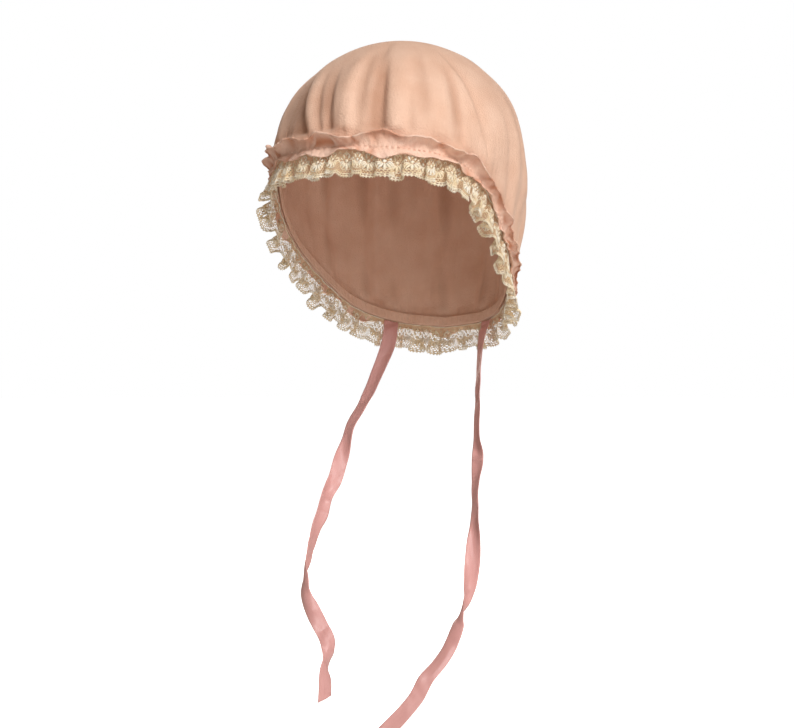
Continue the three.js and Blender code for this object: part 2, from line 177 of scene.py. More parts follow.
# Ties. curl: where they twist, on top of a slow wave. slant: of the cut end, over the last share of the
# length.
RIBBON_WIDTH = 10
RIBBON_THICKNESS = 0.35
RIBBON_CURL = 1.8
RIBBON_WAVE = 0.4
RIBBON_CREASE = 0.3
SELVEDGE_RISE = 0.12
SELVEDGE_FROM = 0.86
CUT_SLANT = 2.2
CUT_SLANT_FROM = 0.97

# Fineness of the meshes
RIM_SAMPLES = 2880
CROWN_SIDES = 440
CROWN_ROWS = 98
CASING_SIDES = 900
CASING_ROWS = 9
HEADING_SIDES = 1520
HEADING_ROWS = 17
LACE_SIDES = 1344
LACE_ROWS = 21
RIBBON_STEPS = 300
RIBBON_COLUMNS = 12
SEAM_OVERLAP = 0.02
EDGE_OVERLAP = 0.12

# The gathered edge. azimuth: degrees from the brow, + to the wearer's left. drop: share of the way from
# brow level to nape level. draw: share of DRAWN_IN by which the gathering pulls the edge in.
RIM_TABLE = table(
    "azimuth drop draw",
    (-180, 1, 1),
    (-155, 0.96, 1),
    (-132, 0.86, 0.95),
    (-114, 0.72, 0.9),
    (-98, 0.59, 0.7),
    (-85, 0.47, 0.4),
    (-76, 0.34, 0.05),
    (-68, 0.19, -0.15),
    (-59, 0.06, -0.1),
    (-48, 0.015, 0),
    (-25, 0, 0),
    (0, 0, 0),
    (25, 0.02, 0),
    (45, 0.07, 0.1),
    (62, 0.18, 0.45),
    (78, 0.34, 0.85),
    (92, 0.48, 1),
    (112, 0.66, 1),
    (133, 0.84, 1),
    (152, 0.95, 1),
    (180, 1, 1),
)

# Sections of the crown below its widest level. drop: share of the way to the edge. draw: share of the
# whole draw.
FLANK_TABLE = table(
    "drop draw",
    (0, 0),
    (0.3, 0),
    (0.5, 0.24),
    (0.75, 0.62),
    (1, 1),
)

# Folds that run up from the gathering. foot and head: azimuth at the lower and the upper end. spread:
# half width in degrees. depth: share of FOLD_DEPTH, + for a ridge. top: share of the way down where it
# starts. crisp: 2 is a round fold, 1 a sharp crease. lap: how much steeper its side towards the wearer's
# left is, where cloth laps over.
FOLD_TABLE = table(
    "foot head spread depth top crisp lap",
    (-62, -60, 6, 0.35, 0.35, 2, 0),
    (-44, -60, 5, 0.3, 0.35, 2, 0),
    (-17, -53, 9, -0.85, 0.42, 1.5, 0.78),
    (-12, -38, 3.5, 0.35, 0.4, 2, 0),
    (-9, -30, 3, -0.5, 0.52, 1.4, 0.6),
    (-5, -18, 3.6, -0.75, 0.48, 1.45, 0.5),
    (1, -4, 4, 0.35, 0.35, 2, 0),
    (6, 3, 2.6, -0.25, 0.35, 2, 0.3),
    (10.5, 8, 3, 0.3, 0.4, 2, 0),
    (15, 11, 3.6, -0.95, 0.44, 1.35, 0.6),
    (12, 8, 3.5, -0.3, 0.18, 1.8, 0.2),
    (21, 20, 4, 0.3, 0.4, 2, 0),
    (26, 23, 2.6, -0.32, 0.62, 1.5, 0.5),
    (32.5, 27, 3, -0.28, 0.3, 1.6, 0.3),
    (41, 36, 3.5, 0.35, 0.35, 2, 0),
    (47.5, 41, 4, -0.5, 0.42, 1.5, 0.5),
    (66, 35, 2.6, -0.2, 0.25, 1.7, -0.4),
    (84, 68, 3.6, -0.2, 0.5, 1.8, -0.3),
    (90, 84, 4, 0.35, 0.4, 2, 0),
)

# How unevenly the folds, the heading and the lace go round the cap
BACK_FOLD_TABLE = waves((17, 1, 1.3), (29, 0.7, 0.4))
HEADING_DRIFT_TABLE = waves((5, 1.1, 0), (9, 0.9, 1))
HEADING_LOBE_DRIFT_TABLE = waves((4, 1.5, 0.5), (7, 1.1, 2), (13, 0.8, 1))
HEADING_RISE_TABLE = waves((11, 0.6, 0.6), (18, 0.5, 2), (31, 0.3, 1))

# Crumples of the heading. count: how many go round. across: lean over its width. swing and turns: how far
# and how often they sway.
CRUMPLE_TABLE = table(
    "count across depth swing turns",
    (43, 2.2, 0.4, 2.5, 9),
    (67, -3.4, 0.3, 3, 13),
    (101, 4.6, 0.2, 2, 19),
    (151, -6, 0.12, 3, 29),
)
LACE_HANG_TABLE = waves((13, 0.9, 0.5), (23, 0.7, 2), (37, 0.5, 1))
HEADING_SWELL_TABLE = waves((8, 0.35, 2), (13, 0.3, 0), (21, 0.2, 1))
LACE_DRIFT_TABLE = waves((5, 1, 1), (11, 0.7, 0), (17, 0.4, 2))
HEADING_EDGE_TABLE = waves((19, 0.7, 0), (7, 0.3, 2))
LACE_UNEVEN_TABLE = waves((7, 0.25, 1), (13, 0.15, 0))
FINE_GATHER_DRIFT_TABLE = waves((7, 2.6, 0), (13, 1.9, 2), (29, 1.1, 1))
FINE_GATHER_REACH_TABLE = waves((11, 0.35, 1), (31, 0.35, 0), (53, 0.2, 3))

# Routes of the two ties: points of the middle of the ribbon. turn: degrees of the ribbon's face.
LEFT_TIE_ROUTE = table(
    "x y z turn",
    (35.1, 61.3, -177.2, 35),
    (34.1, 57, -185, 42),
    (33.3, 54, -195, 50),
    (33, 51, -210, 55),
    (33, 48, -233, 53),
    (34, 44, -257, 48),
    (36, 40, -271, 21),
    (36, 35, -288, 44),
    (38, 28, -309, 44),
    (39, 23, -324, 8),
    (40, 18, -338, -22),
    (40, 13, -354, -59),
    (39, 8, -364, -97),
    (37, 3, -372, -137),
    (36, -1, -379, -165),
    (34, -9, -389, -172),
    (30, -17, -398, -180),
    (24, -26, -407, -185),
    (20, -32, -417, -187),
    (14, -39, -426, -190),
    (8, -43, -433, -192),
    (0, -48, -442, -194),
)
RIGHT_TIE_ROUTE = table(
    "x y z turn",
    (-35.1, 61.3, -177.2, -32),
    (-34.1, 57, -185, -25),
    (-35, 54, -195, -15),
    (-39, 48, -210, 5),
    (-46, 42, -230, 20),
    (-54, 35, -248, 26),
    (-56, 30, -260, 20),
    (-57, 23, -273, -22),
    (-58, 16, -286, -42),
    (-60, 8, -296, -67),
    (-60, 0, -308, -65),
    (-62, -5, -317, -78),
    (-62, -12, -327, -88),
    (-62, -18, -338, -98),
    (-61, -23, -348, -135),
    (-59, -27, -358, -152),
    (-53, -30, -367, -182),
    (-47, -33, -375, -202),
    (-41, -35, -383, -207),
    (-39, -37, -390, -237),
    (-39, -40, -397, -268),
    (-39, -43, -403, -262),
    (-38, -44, -410, -244),
    (-37, -46, -420, -237),
)


# The cap's shape, in millimetres


def smooth_step(start, end, value):
    share = np.clip((value - start) / (end - start), 0, 1)
    return share * share * (3 - 2 * share)


def read_table(rows, along, column, value):
    """Reads one column of a table at values of another, on a smooth curve through its rows."""
    at = np.array([row[along] for row in rows], float)
    read = np.array([row[column] for row in rows], float)
    last = len(rows) - 1
    before = np.maximum(np.arange(last + 1) - 1, 0)
    after = np.minimum(np.arange(last + 1) + 1, last)
    slope = (read[after] - read[before]) / (at[after] - at[before])
    i = np.clip(np.searchsorted(at, value) - 1, 0, last - 1)
    step = at[i + 1] - at[i]
    t = (value - at[i]) / step
    t2, t3 = t * t, t * t * t
    from_rows = (2 * t3 - 3 * t2 + 1) * read[i] + (3 * t2 - 2 * t3) * read[i + 1]
    return from_rows + step * ((t3 - 2 * t2 + t) * slope[i] + (t3 - t2) * slope[i + 1])


def sum_waves(rows, angle):
    return sum(row["depth"] * np.sin(row["count"] * angle + row["start"]) for row in rows)


def unit(vectors):
    return vectors / np.maximum(np.linalg.norm(vectors, axis=-1, keepdims=True), 1e-9)


def wrap_azimuth(azimuth):
    return np.mod(azimuth + 180, 360) - 180


DOME_ARC = math.pi / 2 * math.hypot(DOME_HEIGHT, (CROWN_HALF_WIDTH + CROWN_HALF_LENGTH) / 2) / math.sqrt(2)


def rim_drop(azimuth):
    share = read_table(RIM_TABLE, "azimuth", "drop", wrap_azimuth(azimuth))
    return BROW_DROP + (NAPE_DROP - BROW_DROP) * share


def crown_reach(azimuth, drop):
    """Share of the half width that the crown reaches at a depth below its top."""
    dome = np.sqrt(np.clip(1 - (1 - np.minimum(drop, DOME_HEIGHT) / DOME_HEIGHT) ** 2, 0, 1))
    share = (np.maximum(drop, DOME_HEIGHT) - DOME_HEIGHT) / (rim_drop(azimuth) - DOME_HEIGHT)
    draw = read_table(FLANK_TABLE, "drop", "draw", share) * read_table(RIM_TABLE, "azimuth", "draw", azimuth)
    return np.where(drop < DOME_HEIGHT, dome, 1 - draw * DRAWN_IN / CROWN_HALF_WIDTH)


def meridian_length(azimuth):
    """Length of the way down the crown to its gathered edge."""
    return DOME_ARC + rim_drop(azimuth) - DOME_HEIGHT


def crown_base(azimuth, way):
    """Points of the crown's smooth inner face, at a length of way down from the top."""
    azimuth = wrap_azimuth(azimuth)
    on_dome = DOME_HEIGHT * (1 - np.cos(math.pi / 2 * np.minimum(way, DOME_ARC) / DOME_ARC))
    drop = np.where(way < DOME_ARC, on_dome, DOME_HEIGHT + way - DOME_ARC)
    turn = np.radians(azimuth)
    east, north = np.sin(turn), -np.cos(turn)
    radius = crown_reach(azimuth, drop) / np.hypot(east / CROWN_HALF_WIDTH, north / CROWN_HALF_LENGTH)
    shift = CROWN_FORWARD * smooth_step(0, DOME_HEIGHT, drop)
    return np.stack([east * radius, north * radius - shift, -drop], axis=-1)


def crown_normal(azimuth, way):
    """Outward directions of the smooth inner face."""
    step = 0.5
    safe_way = np.maximum(way, 1)
    across = crown_base(azimuth + step, safe_way) - crown_base(azimuth - step, safe_way)
    down = crown_base(azimuth, safe_way + step) - crown_base(azimuth, safe_way - step)
    normal = -unit(np.cross(across, down))
    return np.where((way < 1)[..., None], np.array([0.0, 0.0, 1.0]), normal)


def main_folds(azimuth, way):
    """How far the large folds and gathers lift the cloth."""
    length = meridian_length(azimuth)
    share = way / length
    from_brow = np.abs(wrap_azimuth(azimuth))
    lift = np.zeros_like(share)
    for fold in FOLD_TABLE:
        middle = fold["head"] + (fold["foot"] - fold["head"]) * share
        away = wrap_azimuth(azimuth - middle) / fold["spread"]
        away = np.abs(away) / (1 - fold["lap"] * np.tanh(LAP_SHARPNESS * away))
        start = smooth_step(fold["top"], fold["top"] + FOLD_GROWTH, share)
        lift = lift + fold["depth"] * FOLD_DEPTH * np.exp(-(away ** fold["crisp"])) * start
    behind = smooth_step(*BACK_FOLDS_FROM, from_brow) * smooth_step(*BACK_FOLDS_DOWN, share)
    lift = lift + BACK_FOLD_DEPTH * behind * sum_waves(BACK_FOLD_TABLE, np.radians(azimuth))
    over_pouch = (length - way - POUCH_ABOVE_EDGE) / POUCH_SPREAD
    lift = lift + POUCH_DEPTH * np.exp(-over_pouch**2) * smooth_step(*POUCH_FROM, from_brow)
    gather = 0.5 + 0.5 * np.sin(np.radians(azimuth) * GATHER_COUNT)
    lift = lift + GATHER_DEPTH * gather * smooth_step(length - GATHER_REACH, length - GATHER_REACH / 2, way)
    return lift * (1 - smooth_step(length - SMOOTH_EDGE - FOLD_FADE, length - SMOOTH_EDGE, way))


def fine_gathers(azimuth, way):
    """Small sharp gathers that fan up from the edge, and the soft dents of thin cloth."""
    turn = np.radians(azimuth)
    left = meridian_length(azimuth) - way
    lean = FINE_GATHER_LEAN * left * np.sin(3 * turn + 1)
    phase = turn * FINE_GATHERS / 2 + sum_waves(FINE_GATHER_DRIFT_TABLE, turn) + lean
    ridge = np.abs(np.sin(phase)) ** FINE_GATHER_SHARPNESS - FINE_GATHER_LEVEL
    reach = FINE_GATHER_REACH * np.clip(1 + sum_waves(FINE_GATHER_REACH_TABLE, turn), 0.35, 2.2)
    fade = np.exp(-((left / reach) ** 1.5)) * smooth_step(-1, 3, left)
    dents = np.sin(5 * turn + 0.05 * way) * np.sin(0.06 * way + 2 * turn) * smooth_step(20, 70, way)
    return FINE_GATHER_DEPTH * ridge * fade + SOFT_DENT_DEPTH * dents * smooth_step(4, 20, left)


rim_angles = np.linspace(-180, 180, RIM_SAMPLES + 1)
rim_points = crown_base(rim_angles, meridian_length(rim_angles))
rim_steps = np.linalg.norm(np.diff(rim_points, axis=0), axis=1)
rim_lengths = np.concatenate([[0], np.cumsum(rim_steps)])
RIM_LENGTH = rim_lengths[-1]
LACE_LENGTH = RIM_LENGTH * LACE_FULLNESS


def rim_azimuth(share):
    """Azimuth at a share of the gathered edge's length."""
    whole = np.floor(share)
    return np.interp((share - whole) * RIM_LENGTH, rim_lengths, rim_angles)


def from_rim(share, below, outwards, sideways=0.0):
    """Points off the gathered edge: down along the frill, out of the cloth and along the edge."""
    azimuth = rim_azimuth(share)
    edge = crown_base(azimuth, meridian_length(azimuth))
    step = 1.0
    after = crown_base(azimuth + step, meridian_length(azimuth + step))
    before = crown_base(azimuth - step, meridian_length(azimuth - step))
    along = unit(after - before)
    out = crown_normal(azimuth, meridian_length(azimuth))
    down = unit(np.cross(along, out))
    down = np.where(down[..., 2:] > 0, -down, down)
    sideways = np.broadcast_to(sideways, np.shape(share))
    return edge + down * below[..., None] + out * outwards[..., None] + along * sideways[..., None]


# Meshes


def from_arrays(name, points, faces):
    """A smooth mesh from points in metres and rows of corner numbers."""
    mesh = bpy.data.meshes.new(name)
    mesh.from_pydata(np.asarray(points).tolist(), [], faces)
    mesh.polygons.foreach_set("use_smooth", np.ones(len(mesh.polygons), bool))
    mesh.update()
    return mesh


def new_piece(name, mesh):
    piece = bpy.data.objects.new(name, mesh)
    bpy.context.scene.collection.objects.link(piece)
    return piece


def cloth_grid(name, points, closed=True, pole=False, u_range=(0, 1), v_range=(0, 1), painted_shade_mask=None):
    """A cloth from rows of points in millimetres: rows run down, columns to the wearer's left.

    Its UV is (along, down). The mask: how deep in a fold or pocket each point lies, from 0 to 1, as its
    painted shade.
    """
    rows, columns = points.shape[:2]
    number = np.arange(rows * columns).reshape(rows, columns)
    spans = columns if closed else columns - 1
    column = np.arange(spans)
    following = (column + 1) % columns
    quads = np.stack(
        [number[:-1, column], number[1:, column], number[1:, following], number[:-1, following]], axis=-1
    )
    u = u_range[0] + (u_range[1] - u_range[0]) * np.arange(spans + 1) / spans
    v = v_range[0] + (v_range[1] - v_range[0]) * np.arange(rows) / (rows - 1)
    here, low = np.meshgrid(u[:-1], v[:-1])
    there, high = np.meshgrid(u[1:], v[1:])
    uv = np.stack([here, low, here, high, there, high, there, low], axis=-1).reshape(-1, 4, 2)
    faces = quads.reshape(-1, 4).tolist()
    corner_uv = uv.tolist()
    if pole:
        faces = [[0, *face[1:3]] if i < spans else face for i, face in enumerate(faces)]
        corner_uv = [corners[:3] if i < spans else corners for i, corners in enumerate(corner_uv)]
    mesh = from_arrays(name, points.reshape(-1, 3) * MM, faces)
    layer = mesh.uv_layers.new(name="UVMap")
    layer.data.foreach_set("uv", np.array([c for corners in corner_uv for c in corners]).ravel())
    if painted_shade_mask is not None:
        mesh.attributes.new("painted_shade_mask", "FLOAT", "POINT").data.foreach_set("value", painted_shade_mask.ravel())
    piece = new_piece(name, mesh)
    if pole:
        remove_loose(piece)
    return piece


def remove_loose(piece):
    """Deletes the points that no face uses."""
    work = bmesh.new()
    work.from_mesh(piece.data)
    bmesh.ops.delete(work, geom=[v for v in work.verts if not v.link_faces], context="VERTS")
    work.to_mesh(piece.data)
    work.free()


def thicken(piece, thickness):
    """Gives a cloth its thickness on the inner side."""
    modifier = piece.modifiers.new("thickness", "SOLIDIFY")
    modifier.thickness = thickness * MM
    modifier.offset = -1
    modifier.use_even_offset = False
    apply_modifiers(piece)


def apply_modifiers(piece):
    """Turns what the modifiers make into the piece's own mesh."""
    depsgraph = bpy.context.evaluated_depsgraph_get()
    made = bpy.data.meshes.new_from_object(piece.evaluated_get(depsgraph))
    piece.modifiers.clear()
    piece.data = made


class Parts:
    """Collects the points and faces of many small shapes for one mesh."""

    def __init__(self):
        self.points, self.faces, self.count = [], [], 0

    def add(self, points, faces):
        points = np.asarray(points, float)
        self.points.append(points)
        self.faces.extend((np.asarray(face) + self.count).tolist() for face in faces)
        self.count += len(points)

    def mesh(self, name, scale=(1, 1, 1)):
        return from_arrays(name, np.concatenate(self.points) * np.array(scale), self.faces)


def bring_to_flat(x, y, z=0.0):
    return np.stack(np.broadcast_arrays(x, y, z), axis=-1).astype(float)


def add_leaf(parts, x, y, angle, length, width, rise=0.35, steps=6):
    """A padded leaf of satin stitch in the flat lace. angle: degrees from straight down the lace."""
    t = np.linspace(0, 1, steps + 1)
    half = width / 2 * np.sin(math.pi * np.clip(t, 0.02, 0.98)) ** 0.7
    turn = math.radians(angle)
    forward, aside = np.array([math.sin(turn), math.cos(turn)]), np.array([math.cos(turn), -math.sin(turn)])
    middle = np.array([x, y]) + np.outer(t * length, forward)
    left, right = middle - half[:, None] * aside, middle + half[:, None] * aside
    ridge = rise * np.sin(math.pi * t) ** 0.5
    rows = [
        bring_to_flat(left[:, 0], left[:, 1]),
        bring_to_flat(middle[:, 0], middle[:, 1], ridge),
        bring_to_flat(right[:, 0], right[:, 1]),
        bring_to_flat(middle[:, 0], middle[:, 1], -0.6 * ridge),
    ]
    count = steps + 1
    faces = []
    for side in range(4):
        start, nxt = side * count, (side + 1) % 4 * count
        for k in range(steps):
            faces.append([start + k, start + k + 1, nxt + k + 1, nxt + k])
    parts.add(np.concatenate(rows), faces)


def add_cord(parts, path, radius, sides=5):
    """A round thread along points in the flat lace."""
    path = np.asarray(path, float)
    tangent = unit(np.gradient(path, axis=0))
    up = np.array([0.0, 0.0, 1.0])
    aside = unit(np.cross(tangent, up))
    corners = []
    for side in range(sides):
        turn = 2 * math.pi * side / sides
        corners.append(path + radius * (math.cos(turn) * aside + math.sin(turn) * up))
    points = np.stack(corners, axis=1).reshape(-1, 3)
    faces = []
    for k in range(len(path) - 1):
        for side in range(sides):
            nxt = (side + 1) % sides
            faces.append([k * sides + side, k * sides + nxt, (k + 1) * sides + nxt, (k + 1) * sides + side])
    parts.add(points, faces)


# Geometry Nodes: a flat motif repeated along a cloth and laid on its surface


def add_node(tree, kind, inputs=None, **settings):
    """A node with its settings, and its inputs given as values or as the sockets that feed them."""
    node = tree.nodes.new(kind)
    for key, value in settings.items():
        setattr(node, key, value)
    for key, value in (inputs or {}).items():
        if isinstance(value, bpy.types.NodeSocket):
            tree.links.new(value, node.inputs[key])
        else:
            node.inputs[key].default_value = value
    return node


def result(tree, kind, inputs=None, **settings):
    """The first output of a new node."""
    return add_node(tree, kind, inputs, **settings).outputs[0]


def calc(tree, operation, first, second):
    """The result of a sum on two numbers or sockets."""
    return result(tree, "ShaderNodeMath", {0: first, 1: second}, operation=operation)


def lay_along_tree():
    """Repeats a flat motif (shares along and down the cloth, and metres of lift) and lays it on the cloth."""
    tree = bpy.data.node_groups.new("Lay along a cloth", "GeometryNodeTree")
    sockets = {
        "Geometry": "Geometry", "Surface": "Object", "Motif": "Object", "Count": "Int",
        "Unevenness": "Float", "Seed": "Int", "Material": "Material",
    }
    for name, kind in sockets.items():
        tree.interface.new_socket(name, in_out="INPUT", socket_type="NodeSocket" + kind)
    tree.interface.new_socket("Geometry", in_out="OUTPUT", socket_type="NodeSocketGeometry")
    given = tree.nodes.new("NodeGroupInput").outputs
    surface = add_node(tree, "GeometryNodeObjectInfo", {"Object": given["Surface"]}).outputs["Geometry"]
    motif = add_node(tree, "GeometryNodeObjectInfo", {"Object": given["Motif"]}).outputs["Geometry"]
    pitch = calc(tree, "DIVIDE", 1.0, given["Count"])
    half = calc(tree, "MULTIPLY", pitch, 0.5)
    start = result(tree, "ShaderNodeCombineXYZ", {"X": half})
    offset = result(tree, "ShaderNodeCombineXYZ", {"X": pitch})
    steps = {"Count": given["Count"], "Start Location": start, "Offset": offset}
    line = result(tree, "GeometryNodeMeshLine", steps)
    slack = calc(tree, "MULTIPLY", pitch, given["Unevenness"])
    back = calc(tree, "MULTIPLY", slack, -1.0)
    chance = add_node(
        tree, "FunctionNodeRandomValue", {"Seed": given["Seed"], 2: back, 3: slack}, data_type="FLOAT"
    )
    nudge = result(tree, "ShaderNodeCombineXYZ", {"X": chance.outputs[1]})
    places = result(tree, "GeometryNodeSetPosition", {"Geometry": line, "Offset": nudge})
    copies = add_node(tree, "GeometryNodeInstanceOnPoints", {"Points": places, "Instance": motif})
    solid = result(tree, "GeometryNodeRealizeInstances", {"Geometry": copies.outputs[0]})
    flat = tree.nodes.new("GeometryNodeInputPosition").outputs[0]
    mark = {"Geometry": solid, "Name": "flat", "Value": flat}
    marked = result(tree, "GeometryNodeStoreNamedAttribute", mark, data_type="FLOAT_VECTOR", domain="POINT")
    uv_map = add_node(tree, "GeometryNodeInputNamedAttribute", {"Name": "UVMap"}, data_type="FLOAT_VECTOR")
    facing = add_node(tree, "GeometryNodeInputNamedAttribute", {"Name": "facing"}, data_type="FLOAT_VECTOR")
    sampled = []
    for value in (tree.nodes.new("GeometryNodeInputPosition").outputs[0], facing.outputs[0]):
        sources = {0: surface, 1: value, 2: uv_map.outputs[0], 3: flat}
        sampler = add_node(tree, "GeometryNodeSampleUVSurface", sources, data_type="FLOAT_VECTOR")
        sampled.append(sampler.outputs[0])
    lift = add_node(tree, "ShaderNodeSeparateXYZ", {"Vector": flat}).outputs["Z"]
    raised = result(tree, "ShaderNodeVectorMath", {0: sampled[1], "Scale": lift}, operation="SCALE")
    place = result(tree, "ShaderNodeVectorMath", {0: sampled[0], 1: raised}, operation="ADD")
    laid = result(tree, "GeometryNodeSetPosition", {"Geometry": marked, "Position": place})
    smooth = result(tree, "GeometryNodeSetShadeSmooth", {"Geometry": laid})
    finished = add_node(tree, "GeometryNodeSetMaterial", {"Geometry": smooth, "Material": given["Material"]})
    add_node(tree, "NodeGroupOutput", {0: finished.outputs[0]})
    return tree


def lay_along(name, surface, motif_mesh, count, material, unevenness=0.0, seed=1):
    """A plain mesh piece made by laying count copies of a flat motif along a cloth."""
    motif = new_piece(name + "_motif", motif_mesh)
    piece = new_piece(name, bpy.data.meshes.new(name + "_start"))
    modifier = piece.modifiers.new("lay", "NODES")
    modifier.node_group = LAY_ALONG
    values = {
        "Surface": surface, "Motif": motif, "Count": count,
        "Unevenness": unevenness, "Seed": seed, "Material": material,
    }
    for item in LAY_ALONG.interface.items_tree:
        if item.item_type == "SOCKET" and item.in_out == "INPUT" and item.name in values:
            modifier[item.identifier] = values[item.name]
    apply_modifiers(piece)
    bpy.data.objects.remove(motif)
    return piece


def guide_surface(name, place, columns, rows):
    """A hidden cloth that motifs are laid on, a little larger than theirs, past its seam and its edges."""
    spare = round(columns * SEAM_OVERLAP)
    u = np.arange(-spare, columns + spare + 1) / columns
    v = np.linspace(-EDGE_OVERLAP, 1 + EDGE_OVERLAP, rows)
    share, depth = np.meshgrid(u, v)
    points = place(share, depth)
    piece = cloth_grid(name, points, closed=False, u_range=(u[0], u[-1]), v_range=(v[0], v[-1]))
    along = np.gradient(points, axis=1)
    down = np.gradient(points, axis=0)
    facing = unit(np.cross(down, along))
    attribute = piece.data.attributes.new("facing", "FLOAT_VECTOR", "POINT")
    attribute.data.foreach_set("vector", facing.reshape(-1))
    return piece


# Materials


def linear(red, green, blue):
    """A colour given as it looks on a screen, from 0 to 255, as Blender's linear values."""
    def channel(value):
        value /= 255
        return value / 12.92 if value <= 0.04045 else ((value + 0.055) / 1.055) ** 2.4
    return (channel(red), channel(green), channel(blue), 1)


CREPE = linear(240, 202, 178)
CREPE_DEEP = linear(230, 187, 161)
HEADING_CREPE = linear(250, 213, 194)
# Painted shade: the crown's crepe turns towards this fold colour the deeper a point lies in a fold, at most
# by the share below.
FOLD_SHADE = linear(172, 122, 94)
PAINTED_FOLD_SHADE_SHARE = 0.62
# Painted shade: the heading's crepe turns towards this colour in the valleys between its lobes and under its
# upper hem.
POCKET_SHADE = linear(206, 138, 104)
PAINTED_POCKET_SHADE_SHARE = 0.95
LACE_THREAD = linear(255, 249, 234)
LACE_THREAD_DEEP = linear(248, 226, 186)
# Painted shade: the net's thread is the lace thread made darker and yellower, as thread in shade looks.
NET_THREAD_SHADED = linear(236, 204, 158)
RIBBON = linear(246, 190, 184)
RIBBON_DEEP = linear(224, 156, 150)
SEWING_THREAD = linear(240, 200, 178)
FLOOR = (0.85, 0.85, 0.85, 1)
FLOOR_SHADE = (0.83, 0.83, 0.83, 1)
FLOOR_GLOW = 1.1


def shader_group(name, inputs, outputs):
    tree = bpy.data.node_groups.new(name, "ShaderNodeTree")
    for socket, kind, value in inputs:
        made = tree.interface.new_socket(socket, in_out="INPUT", socket_type=kind)
        made.default_value = value
    for socket, kind in outputs:
        tree.interface.new_socket(socket, in_out="OUTPUT", socket_type=kind)
    return tree, tree.nodes.new("NodeGroupInput").outputs


def crepe_grain_group():
    """Pebbly crepe: crinkled fine threads with a soft mottle, over Object coordinates in metres."""
    tree, given = shader_group(
        "Crepe grain",
        [("Grain per metre", "NodeSocketFloat", 1100.0), ("Mottle per metre", "NodeSocketFloat", 60.0)],
        [("Height", "NodeSocketFloat"), ("Mottle", "NodeSocketFloat")],
    )
    where = tree.nodes.new("ShaderNodeTexCoord").outputs["Object"]
    fine = {"Vector": where, "Scale": given["Grain per metre"]}
    crinkle = result(tree, "ShaderNodeTexNoise", {**fine, "Detail": 2.0, "Roughness": 0.6, "Distortion": 0.8})
    pebble = result(tree, "ShaderNodeTexVoronoi", {**fine, "Randomness": 1.0}, feature="SMOOTH_F1")
    height = calc(tree, "SUBTRACT", crinkle, pebble)
    mottle = result(
        tree, "ShaderNodeTexNoise", {"Vector": where, "Scale": given["Mottle per metre"], "Detail": 4.0}
    )
    add_node(tree, "NodeGroupOutput", {"Height": height, "Mottle": mottle})
    return tree


def thread_group():
    """Threads that run along one way of the cloth's own UV map: ribbed height and a fine streak."""
    tree, given = shader_group(
        "Thread lines",
        [
            ("UV", "NodeSocketVector", (0, 0, 0)),
            ("Across", "NodeSocketFloat", 60.0),
            ("Along", "NodeSocketFloat", 900.0),
        ],
        [("Height", "NodeSocketFloat"), ("Streak", "NodeSocketFloat")],
    )
    parts = add_node(tree, "ShaderNodeSeparateXYZ", {"Vector": given["UV"]}).outputs
    x = calc(tree, "MULTIPLY", parts["X"], given["Across"])
    y = calc(tree, "MULTIPLY", parts["Y"], given["Along"])
    warp = result(tree, "ShaderNodeMath", {0: x}, operation="SINE")
    weft = result(tree, "ShaderNodeMath", {0: y}, operation="SINE")
    fine = calc(tree, "MULTIPLY", weft, 0.35)
    height = calc(tree, "ADD", warp, fine)
    slow = calc(tree, "MULTIPLY", y, 0.01)
    place = result(tree, "ShaderNodeCombineXYZ", {"X": x, "Y": slow})
    streak = result(tree, "ShaderNodeTexNoise", {"Vector": place, "Scale": 1.0, "Detail": 2.0})
    add_node(tree, "NodeGroupOutput", {"Height": height, "Streak": streak})
    return tree


def new_material(name):
    material = bpy.data.materials.new(name)
    material.use_nodes = True
    return material, material.node_tree, material.node_tree.nodes["Principled BSDF"]


def mixed(tree, share, first, second):
    """The colour between two colours at a share that changes over the surface."""
    node = add_node(tree, "ShaderNodeMix", {"Factor": share, 6: first, 7: second}, data_type="RGBA")
    return node.outputs[2]


def spread(tree, value, low, high):
    """Stretches a mask so that low becomes 0 and high becomes 1."""
    return result(tree, "ShaderNodeMapRange", {"Value": value, "From Min": low, "From Max": high})


def set_sockets(node, values):
    for name, value in values.items():
        node.inputs[name].default_value = value


def finish_cloth(tree, surface, colour, height, depth, strength, values):
    """Joins a cloth's colour and the bumps of its threads to its surface, and sets the rest of it."""
    tree.links.new(colour, surface.inputs["Base Color"])
    bump = add_node(tree, "ShaderNodeBump", {"Height": height, "Distance": depth, "Strength": strength})
    tree.links.new(bump.outputs[0], surface.inputs["Normal"])
    set_sockets(surface, values)


def crepe_material(name, colour, deep, grain=1100.0, shade=FOLD_SHADE, painted_shade_share=PAINTED_FOLD_SHADE_SHARE):
    material, tree, surface = new_material(name)
    crepe = add_node(tree, "ShaderNodeGroup", {"Grain per metre": grain}, node_tree=CREPE_GRAIN)
    mottle = spread(tree, crepe.outputs["Mottle"], 0.3, 0.75)
    cloth = mixed(tree, mottle, deep, colour)
    # Painted shade: the mesh's mask of depth in folds and pockets turns the cloth colour towards the shade
    # colour.
    painted_shade_mask = add_node(tree, "ShaderNodeAttribute", attribute_name="painted_shade_mask").outputs["Fac"]
    share = calc(tree, "MULTIPLY", painted_shade_mask, painted_shade_share)
    finish_cloth(tree, surface, mixed(tree, share, cloth, shade), crepe.outputs["Height"], 0.0004, 0.7, {
        "Roughness": 0.82, "Sheen Weight": 0.35, "Sheen Roughness": 0.4,
        "Sheen Tint": linear(255, 226, 208), "Specular IOR Level": 0.25,
    })
    return material


def lace_material(name, colour, deep, rough=0.75):
    material, tree, surface = new_material(name)
    grains = {"Grain per metre": 2600.0, "Mottle per metre": 140.0}
    crepe = add_node(tree, "ShaderNodeGroup", grains, node_tree=CREPE_GRAIN)
    mottle = spread(tree, crepe.outputs["Mottle"], 0.3, 0.7)
    finish_cloth(tree, surface, mixed(tree, mottle, deep, colour), crepe.outputs["Height"], 0.0002, 0.6, {
        "Roughness": rough, "Sheen Weight": 0.25, "Specular IOR Level": 0.3,
    })
    return material


